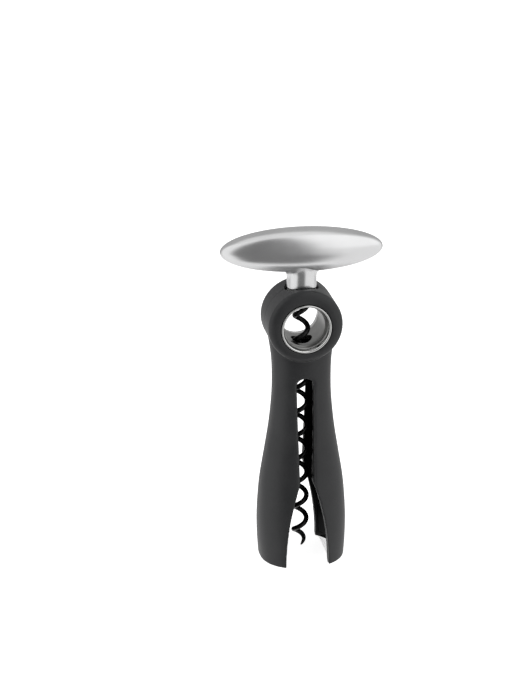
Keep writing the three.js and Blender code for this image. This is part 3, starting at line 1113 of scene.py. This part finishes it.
@dataclass(frozen=True)
class Studio:
    """A white sweep under broad soft light, open to the right and with a dark gap in front.

    The levels are brightnesses round the object, and the angles are degrees of heading, from 0 in
    front to 90 on the right, and of rise above the horizon. A blur is half the width of an edge.
    """

    floor_size: float = 4.0
    left: float = 0.9
    right: float = 0.86
    right_above: float = 1.06
    behind: float = 0.42
    overhead: float = 0.80
    ground: float = 0.86
    gap: float = 0.19
    right_rises_over: float = 25.0
    right_side: Point = (-4.0, 100.0)
    right_blur: float = 8.0
    behind_from: float = 110.0
    behind_blur: float = 15.0
    gap_heading: float = -20.0
    gap_half_width: float = 29.0
    gap_blur: float = 9.0
    gap_shift: float = 9.0
    gap_shifts_over: float = 32.0
    ground_blur: float = 9.0
    ground_below: float = -60.0
    ground_below_behind: float = -19.0
    overhead_blur: float = 4.0
    overhead_above: float = 82.0
    overhead_above_behind: float = 63.0
    fill_watts: float = 2.5
    fill_size: float = 0.6
    fill_place: Triple = (-0.8, -0.2, 0.6)
    fill_aim: Triple = (0.0, 0.0, 0.1)
    floor_glow: float = 0.9

    def sky(self) -> None:
        """Draw the light by its direction. The background that the camera sees is plain white."""
        world = bpy.data.worlds.new("studio")
        bpy.context.scene.world = world
        world.use_nodes = True
        sheet = Sheet(world.node_tree)
        x, y, z = sheet.axes(sheet.node("ShaderNodeTexCoord").outputs["Generated"])
        heading = sheet.math("ARCTAN2", x, y * -1.0) * math.degrees(1.0)
        rise = sheet.math("ARCSINE", z) * math.degrees(1.0)
        start, end = self.behind_from - self.behind_blur, self.behind_from + self.behind_blur
        back = sheet.math("ABSOLUTE", heading).rise(start, end)
        right = between(self.right, self.right_above, rise.rise(0, self.right_rises_over))
        level = between(self.left, right, heading.band(*self.right_side, self.right_blur))
        level = between(level, self.behind, back)
        across = heading - self.gap_heading - self.gap_shift * (0 - rise).rise(0, self.gap_shifts_over)
        half = self.gap_half_width
        level = between(level, self.gap, across.band(-half, half, self.gap_blur))
        horizon = between(self.ground_below, self.ground_below_behind, back)
        above = (rise - horizon).rise(-self.ground_blur, self.ground_blur)
        level = between(self.ground, level, above)
        ceiling = between(self.overhead_above, self.overhead_above_behind, back)
        over = (rise - ceiling).rise(-self.overhead_blur, self.overhead_blur)
        level = between(level, self.overhead, over)
        seen = sheet.node("ShaderNodeLightPath").outputs["Is Camera Ray"]
        plain = sheet.node("ShaderNodeBackground", {"Color": WHITE, "Strength": 1.0})
        lit = sheet.node("ShaderNodeBackground", {"Color": WHITE, "Strength": level})
        both = sheet.node("ShaderNodeMixShader", {0: seen, 1: lit.outputs[0], 2: plain.outputs[0]})
        sheet.node("ShaderNodeOutputWorld", {"Surface": both.outputs[0]})

    def floor(self) -> None:
        """A plain white floor, which reflections look through to the light below the horizon."""
        bpy.ops.mesh.primitive_plane_add(size=self.floor_size, location=(0, 0, 0))
        ground = started("floor")
        material, sheet = new_material("floor_white")
        path = sheet.node("ShaderNodeLightPath")
        matt = sheet.node("ShaderNodeBsdfDiffuse", {"Color": (0.85, 0.85, 0.85, 1)})
        shine = Wire(sheet, path.outputs["Is Camera Ray"]) * self.floor_glow
        glow = sheet.node("ShaderNodeEmission", {"Color": WHITE, "Strength": shine})
        both = sheet.node("ShaderNodeAddShader", {0: matt.outputs[0], 1: glow.outputs[0]})
        clear = sheet.node("ShaderNodeBsdfTransparent")
        mirrored = path.outputs["Is Glossy Ray"]
        parts = {0: mirrored, 1: both.outputs[0], 2: clear.outputs[0]}
        shown = sheet.node("ShaderNodeMixShader", parts)
        sheet.node("ShaderNodeOutputMaterial", {"Surface": shown.outputs[0]})
        ground.data.materials.append(material)

    def fill(self) -> None:
        """A square soft box that fills the shadows and doesn't show in reflections."""
        data = bpy.data.lights.new("left_fill", "AREA")
        data.shape = "SQUARE"
        data.size = self.fill_size
        data.energy = self.fill_watts
        lamp = added("left_fill", data)
        lamp.location = self.fill_place
        facing = Vector(self.fill_aim) - Vector(self.fill_place)
        lamp.rotation_euler = facing.to_track_quat("-Z", "Y").to_euler()
        lamp.visible_glossy = False

    def make(self) -> None:
        """Set the whole studio."""
        self.sky()
        self.floor()
        self.fill()
        view = bpy.context.scene.view_settings
        view.view_transform = "Standard"
        view.look = "None"


@dataclass(frozen=True)
class Viewpoint:
    """The camera, set back from the axis at a heading, looking down at the object."""

    heading: float = -12.02
    distance: float = 908.0
    height: float = 489.0
    aside: float = 1.318
    pitch: float = 22.03
    roll: float = -0.3
    lens: float = 93.5

    def make(self) -> None:
        """Add the camera and make it the scene's."""
        data = bpy.data.cameras.new("camera")
        data.lens = self.lens
        data.sensor_width = 36.0
        data.clip_start = 0.01
        data.clip_end = 50.0
        camera = added("camera", data)
        stand = math.radians(self.heading)
        flat = (math.sin(stand) * self.distance, -math.cos(stand) * self.distance)
        place = Vector((*flat, self.height)) * MM
        look = Matrix.Rotation(math.radians(self.heading + self.aside), 4, "Z")
        tilt = Matrix.Rotation(math.radians(90.0 - self.pitch), 4, "X")
        bank = Matrix.Rotation(math.radians(self.roll), 4, "Z")
        camera.matrix_world = Matrix.Translation(place) @ look @ tilt @ bank
        bpy.context.scene.camera = camera


# ------------------------------------------------------------------ assembly


def main() -> None:
    """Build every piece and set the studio."""
    logging.basicConfig(level=logging.INFO, format="%(name)s: %(message)s")
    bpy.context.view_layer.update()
    Viewpoint().make()
    Studio().make()
    soft = SoftTouch().make()
    nylon = BlackPlastic("black_nylon", (0.004, 0.004, 0.0045), (0.008, 0.008, 0.009), 0.36, 0.00002)
    gloss = BlackPlastic("gloss_black", (0.002, 0.002, 0.0022), (0.0035, 0.0035, 0.004), 0.22, 0.000006)
    nylon, gloss = nylon.make(), gloss.make()
    across = (Axis.ACROSS, WINDOW_Z)
    polished = TurnedSteel("polished_steel", *across, (0.80, 0.80, 0.79), (0.86, 0.86, 0.85), 0.13, 0.000006)
    satin = TurnedSteel("satin_steel", *across, (0.30, 0.30, 0.295), (0.38, 0.38, 0.37), 0.3, 0.00001)
    faced = TurnedSteel("faced_steel", Axis.UP, 0.0, (0.60, 0.60, 0.59), (0.68, 0.68, 0.67), 0.3, 0.00001)
    polished, satin, faced = polished.make(), satin.make(), faced.make()
    Shells().make(soft)
    Fork().make(nylon, gloss)
    WindowLining().make(polished, satin, nylon)
    ThrustSeat().make(faced)
    ThrustWasher().make(faced)
    TurningHandle().make(SatinAluminium().make(), faced, CoatedWire().make())


if __name__ == "__main__":
    main()
